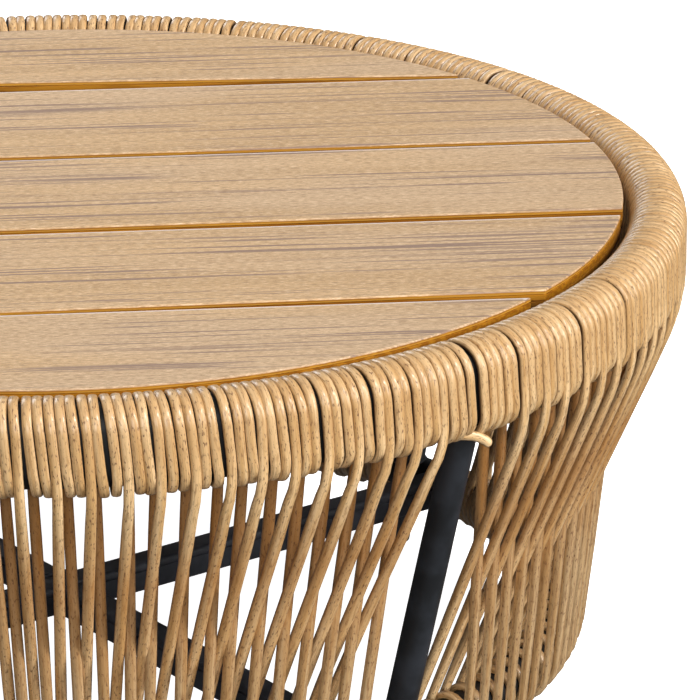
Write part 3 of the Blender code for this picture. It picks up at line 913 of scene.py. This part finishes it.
def build_stage():
    """Pale floor with a faint mottle, lit evenly by a glow of its own, four soft lamps, and a sky that is
    bright overhead and dim at the horizon. Only the camera sees the floor, so it lights nothing."""
    cloth = Finish("pale_studio_floor", Specular_IOR_Level=0.0, Emission_Strength=1.15)
    grain = cloth.noise(cloth.place(), 90.0, 3.0, 0.6)
    colour = cloth.mixed(paint(238, 238, 238), paint(244, 244, 244), grain)
    finish = cloth.done(Base_Color=colour, Roughness=0.85 + grain * 0.1, Emission_Color=colour)
    corners = [(x * FLOOR_HALF, y * FLOOR_HALF, 0) for x, y in ((-1, -1), (1, -1), (1, 1), (-1, 1))]
    mesh = bpy.data.meshes.new("floor")
    mesh.from_pydata(corners, [], [(0, 1, 2, 3)])
    mesh.materials.append(finish)
    floor = bpy.data.objects.new("floor", mesh)
    bpy.context.scene.collection.objects.link(floor)
    floor.visible_diffuse = False
    floor.visible_glossy = False
    for each in LAMPS:
        lamp(*each)
    world = bpy.data.worlds.new("studio")
    world.use_nodes = True
    room = Workshop(world.node_tree)
    place = room.node("ShaderNodeTexCoord")
    upright = room.node("ShaderNodeSeparateXYZ", None, {0: place.outputs["Generated"]})
    stops = ((0.0, SKY_LOW), (0.70, SKY_MIDDLE), (0.93, SKY_HIGH))
    blend = room.node("ShaderNodeValToRGB", {"stops": stops}, {"Fac": upright.outputs["Z"]})
    sky = room.tree.nodes["Background"]
    room.feed(sky.inputs["Color"], blend.outputs["Color"])
    room.feed(sky.inputs["Strength"], SKY_STRENGTH)
    bpy.context.scene.world = world
    bpy.context.scene.view_settings.view_transform = "Standard"


def lamp(name, source, strength, spread, tint):
    """Sun that shines from source towards the table; spread in degrees softens its shadow."""
    light = bpy.data.lights.new(name, "SUN")
    light.energy = strength
    light.angle = math.radians(spread)
    light.color = tint
    item = bpy.data.objects.new(name, light)
    item.rotation_euler = Vector(source).to_track_quat("Z", "Y").to_euler()
    bpy.context.scene.collection.objects.link(item)


def build_camera(top):
    """Camera and its aim, both set off from the middle of the planks' upper face and turned together."""
    turn = Matrix.Rotation(VIEW_TURN, 4, "Z")
    origin = Vector((0, 0, top))
    place = origin + turn @ Vector(CAMERA_OFF)
    aim = origin + turn @ Vector(AIM_OFF)
    camera = bpy.data.cameras.new("camera")
    camera.lens = LENS
    camera.sensor_width = SENSOR
    camera.clip_start = 0.1
    camera.clip_end = 60.0
    item = bpy.data.objects.new("camera", camera)
    face = (aim - place).to_track_quat("-Z", "Y").to_matrix().to_4x4()
    item.matrix_world = Matrix.Translation(place) @ face @ Matrix.Rotation(CAMERA_ROLL, 4, "Z")
    bpy.context.scene.collection.objects.link(item)
    bpy.context.scene.camera = item


def refinish(nodes, finish):
    """Give frame nodes that stay in view a better material."""
    for node in nodes:
        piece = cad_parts[node]
        piece.data.materials.clear()
        piece.data.materials.append(finish)


plank_low, plank_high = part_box("plank_3")
build_camera(plank_high[2])
build_stage()
wicker = cord_finish()
for each in range(4):
    cord_run(f"cord_run_{each + 1}", each, wicker)
    tail_end(f"cord_tail_{each + 1}", each, wicker)
build_planks(plank_finish(plank_high[2], plank_high[2] - plank_low[2]))
powder = powder_finish("black_powder_coat", paint(25, 27, 30), paint(42, 45, 51))
# painted light: a paler copy of the powder coat for the lower cross, standing in for light on the bars
painted_light_cross_powder = powder_finish("black_powder_coat_cross_painted_light", paint(46, 48, 54), paint(70, 72, 80))
# painted shade: a near-black copy of the powder coat for the tubes under the cord
painted_shade_powder = powder_finish("powder_coat_painted_shade_under_cord", paint(6, 6, 7), paint(12, 12, 13))
build_steel(powder, painted_light_cross_powder, painted_shade_powder)
under_top = ["top_bar_long", "top_bar_half_1", "top_bar_half_2", "batten_left", "batten_right"]
refinish(under_top, powder)
screws = [f"plank_screw_{side}_{number}" for side in ("left", "right") for number in range(1, 6)]
refinish(screws, screw_finish())
refinish([f"foot_glide_{number}" for number in range(1, 5)], glide_finish())
